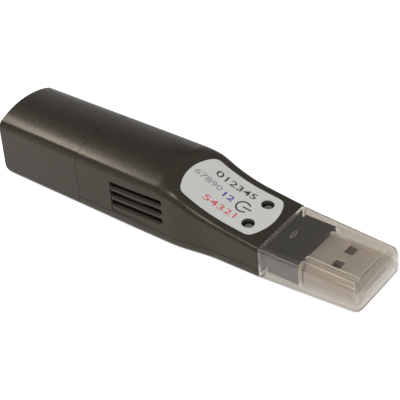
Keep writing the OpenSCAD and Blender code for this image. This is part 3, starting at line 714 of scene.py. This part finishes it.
class LOGGER_OT_cap(bpy.types.Operator):
    """Dresses the clear cap"""
    bl_idname = "logger.cap"
    bl_label = "Clear cap"

    def execute(self, context):
        cap = carry("clear_cap")
        rims = mark_round_edges(cap, width=0.2 * MM, segments=3)
        finish_piece(cap, "clear_cap_shell", "cap", "clear_plastic", self.smoky_plastic(), "clear_cap")
        # Frosted finish and painted highlight: the rounded rim faces get a light, less clear finish that
        # draws light lines along the cap's edges
        frosted_edge_highlight = self.edge_highlight_plastic("frosted_clear_edges_highlight", (0.78, 0.74, 0.67), roughness=0.3,
                                    clearness=0.6)
        paint(cap, frosted_edge_highlight, lambda face: face.index in rims)
        # Painted highlight: near-white, barely clear faces along the shield's pocket edges and rib sides
        bright = self.edge_highlight_plastic("pocket_edges_painted_highlight", (0.95, 0.92, 0.86), roughness=0.25,
                                   clearness=0.15)
        paint(cap, bright, self.pocket_edges(rims))
        return {"FINISHED"}

    def smoky_plastic(self):
        """Clear plastic with a glossy skin, which takes up light along its way through"""
        mat = new_material("smoky_clear_plastic", looks().cap_color, roughness=0.02, IOR=1.15,
                           Transmission_Weight=0.985, Coat_Weight=1, Coat_Roughness=0.03, Coat_IOR=1.7)
        # Painted shade: the cap's tint is darkened along its low outer edge
        self.paint_low_edge_shade(mat, looks().cap_color)
        bump(mat, noise(mat, scale=350, detail=1), distance=4e-6)
        smoke = node(mat, "ShaderNodeVolumeAbsorption", Color=(0.7, 0.665, 0.625, 1),
                     Density=looks().cap_density)
        feed(mat, mat.node_tree.nodes["Material Output"].inputs["Volume"], smoke.outputs["Volume"])
        return mat

    def paint_low_edge_shade(self, mat, tint):
        """Paints shade into the tint along the outer lower edge: a darker band for the shade that the light
        running along the wall leaves there
        """
        low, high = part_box("clear_cap")
        band, height, depth = 0.6 * MM, 1.5 * MM, 0.5
        # How much each side draws in and the underside rises, for each length towards the tip
        narrowing, rise = 0.035, 0.0425
        x, y, z = node(mat, "ShaderNodeSeparateXYZ", Vector=place_on(mat)).outputs
        side = calc(mat, "MULTIPLY_ADD", x, narrowing, calc(mat, "ABSOLUTE", y))
        by_side = calc(mat, "GREATER_THAN", side, high.y - band + narrowing * low.x)
        by_tip = calc(mat, "GREATER_THAN", x, high.x - band / 2)
        above = calc(mat, "MULTIPLY_ADD", x, -rise, z)
        by_foot = calc(mat, "LESS_THAN", above, low.z + height - rise * low.x)
        edge = calc(mat, "MULTIPLY", calc(mat, "MAXIMUM", by_side, by_tip), by_foot)
        # Painted shade: inside the edge band the tint falls to a darker share of itself
        vary_color(mat, edge, tint, [c * depth for c in tint], stops=(0, 1))

    def edge_highlight_plastic(self, name, color, roughness, clearness):
        """The less clear finish of a moulded edge, in a light colour that also paints a highlight line along
        it
        """
        mat = new_material(name, color, roughness, IOR=1.15, Transmission_Weight=clearness)
        bump(mat, noise(mat, scale=1500), distance=3e-6)
        return mat

    def pocket_edges(self, rims):
        """A test for the edges of the shield's pocket and the sides of its ribs, which get a painted
        highlight where they catch the light
        """
        low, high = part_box("plug_shield")
        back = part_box("plug_housing")[1].x
        gap, roof, sliver = 1 * MM, 0.45 * MM, 6e-6

        def chosen(face):
            spot = face.center
            inside = back < spot.x < high.x + gap and abs(spot.y) < high.y + gap
            edge = face.index in rims and low.z - gap < spot.z < high.z + gap
            rib = high.z < spot.z < high.z + roof + gap / 2 and upright(face) and face.area < sliver
            return inside and (edge or rib)
        return chosen


class LOGGER_OT_battery(bpy.types.Operator):
    """Dresses the cell, its carrier and its contacts"""
    bl_idname = "logger.battery"
    bl_label = "Battery"

    def execute(self, context):
        dark = textured_plastic("carrier_plastic", (0.028, 0.028, 0.028), grain=4500, depth=1.5e-5)
        sleeve = textured_plastic("cell_sleeve", (0.33, 0.03, 0.025), grain=2500, depth=3e-6,
                                  roughness=(0.22, 0.32), spread=0.06)
        tin = plated_metal("tin_contacts", (0.75, 0.75, 0.76))
        dress("battery_carrier", "inner_plastic", dark, rounding=0.15 * MM)
        cell = dress("battery_cell", "cell_sleeve", sleeve, rounding=0.4 * MM)
        paint(cell, tin, self.bare_metal())
        for name in ("positive_contact", "negative_tab"):
            dress(name, "plated_steel", tin, rounding=0.05 * MM)
        coil = modify(carry("negative_spring", flat=0.01), "SUBSURF", levels=1, render_levels=1)
        smooth(coil, angle=60, weighted=False)
        finish_piece(coil, "spring_coil", "housing", "plated_steel", tin, "negative_spring")
        return {"FINISHED"}

    def bare_metal(self):
        """A test for the cell's ends and the band at its rear that the sleeve leaves bare"""
        band, end_on = 1.2 * MM, 0.7
        sleeve_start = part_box("battery_cell")[0].x + band
        return lambda face: abs(face.normal.x) > end_on or face.center.x < sleeve_start


class LOGGER_OT_board(bpy.types.Operator):
    """Dresses the circuit board and its parts"""
    bl_idname = "logger.board"
    bl_label = "Circuit board"

    def execute(self, context):
        mask = textured_plastic("solder_mask", (0.012, 0.085, 0.04), grain=1800, depth=8e-6,
                                roughness=(0.2, 0.3), spread=0.15)
        laminate = textured_plastic("board_edge", (0.32, 0.3, 0.16), grain=3000, depth=1e-5,
                                    roughness=(0.5, 0.6))
        resin = textured_plastic("chip_resin", (0.02, 0.02, 0.022), grain=4000, depth=8e-6)
        tin = plated_metal("tin_parts", (0.72, 0.72, 0.73))
        board = dress("circuit_board", "board_laminate", mask, rounding=0.06 * MM)
        paint(board, laminate, upright)
        for name in ("microcontroller", "memory_chip"):
            chip = dress(name, "chip_resin", resin, rounding=0.04 * MM)
            paint(chip, tin, self.pins(name))
        dress("air_sensor", "chip_resin", resin, rounding=0.1 * MM)
        resistors = dress("resistors", "chip_resin", resin, rounding=0.04 * MM)
        paint(resistors, tin, lambda face: abs(face.normal.y) > 0.5)
        dress("crystal_can", "plated_steel", tin, rounding=0.2 * MM)
        dress("tact_switch", "plated_steel", tin, rounding=0.08 * MM)
        return {"FINISHED"}

    def pins(self, name):
        """A test for the faces of a chip's pins, which stand out from its body"""
        low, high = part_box(name)
        middle, half = (low + high) / 2, (high - low) / 2
        reach = looks().pin_reach

        def outside(face):
            away = face.center - middle
            across = name == "microcontroller" and abs(away.x) > half.x - reach
            return across or abs(away.y) > half.y - reach
        return outside


OPERATORS = (LOGGER_OT_stage, LOGGER_OT_housing, LOGGER_OT_label, LOGGER_OT_lamps,
             LOGGER_OT_plug, LOGGER_OT_cap, LOGGER_OT_battery, LOGGER_OT_board)


class LOGGER_PT_panel(bpy.types.Panel):
    """Sizes, colours and the steps of the logger"""
    bl_idname = "LOGGER_PT_panel"
    bl_label = "Climate logger"
    bl_space_type = "VIEW_3D"
    bl_region_type = "UI"
    bl_category = "Logger"

    def draw(self, context):
        for key in LoggerLooks.__annotations__:
            self.layout.prop(context.scene.logger_looks, key)
        for step in OPERATORS:
            self.layout.operator(step.bl_idname)


CLASSES = (LoggerLooks, *OPERATORS, LOGGER_PT_panel)


def register():
    for cls in CLASSES:
        bpy.utils.register_class(cls)
    bpy.types.Scene.logger_looks = PointerProperty(type=LoggerLooks)


def unregister():
    del bpy.types.Scene.logger_looks
    for cls in reversed(CLASSES):
        bpy.utils.unregister_class(cls)


def main():
    register()
    for step in (bpy.ops.logger.stage, bpy.ops.logger.housing, bpy.ops.logger.label, bpy.ops.logger.lamps,
                 bpy.ops.logger.plug, bpy.ops.logger.cap, bpy.ops.logger.battery, bpy.ops.logger.board):
        step()


if __name__ == "__main__":
    main()
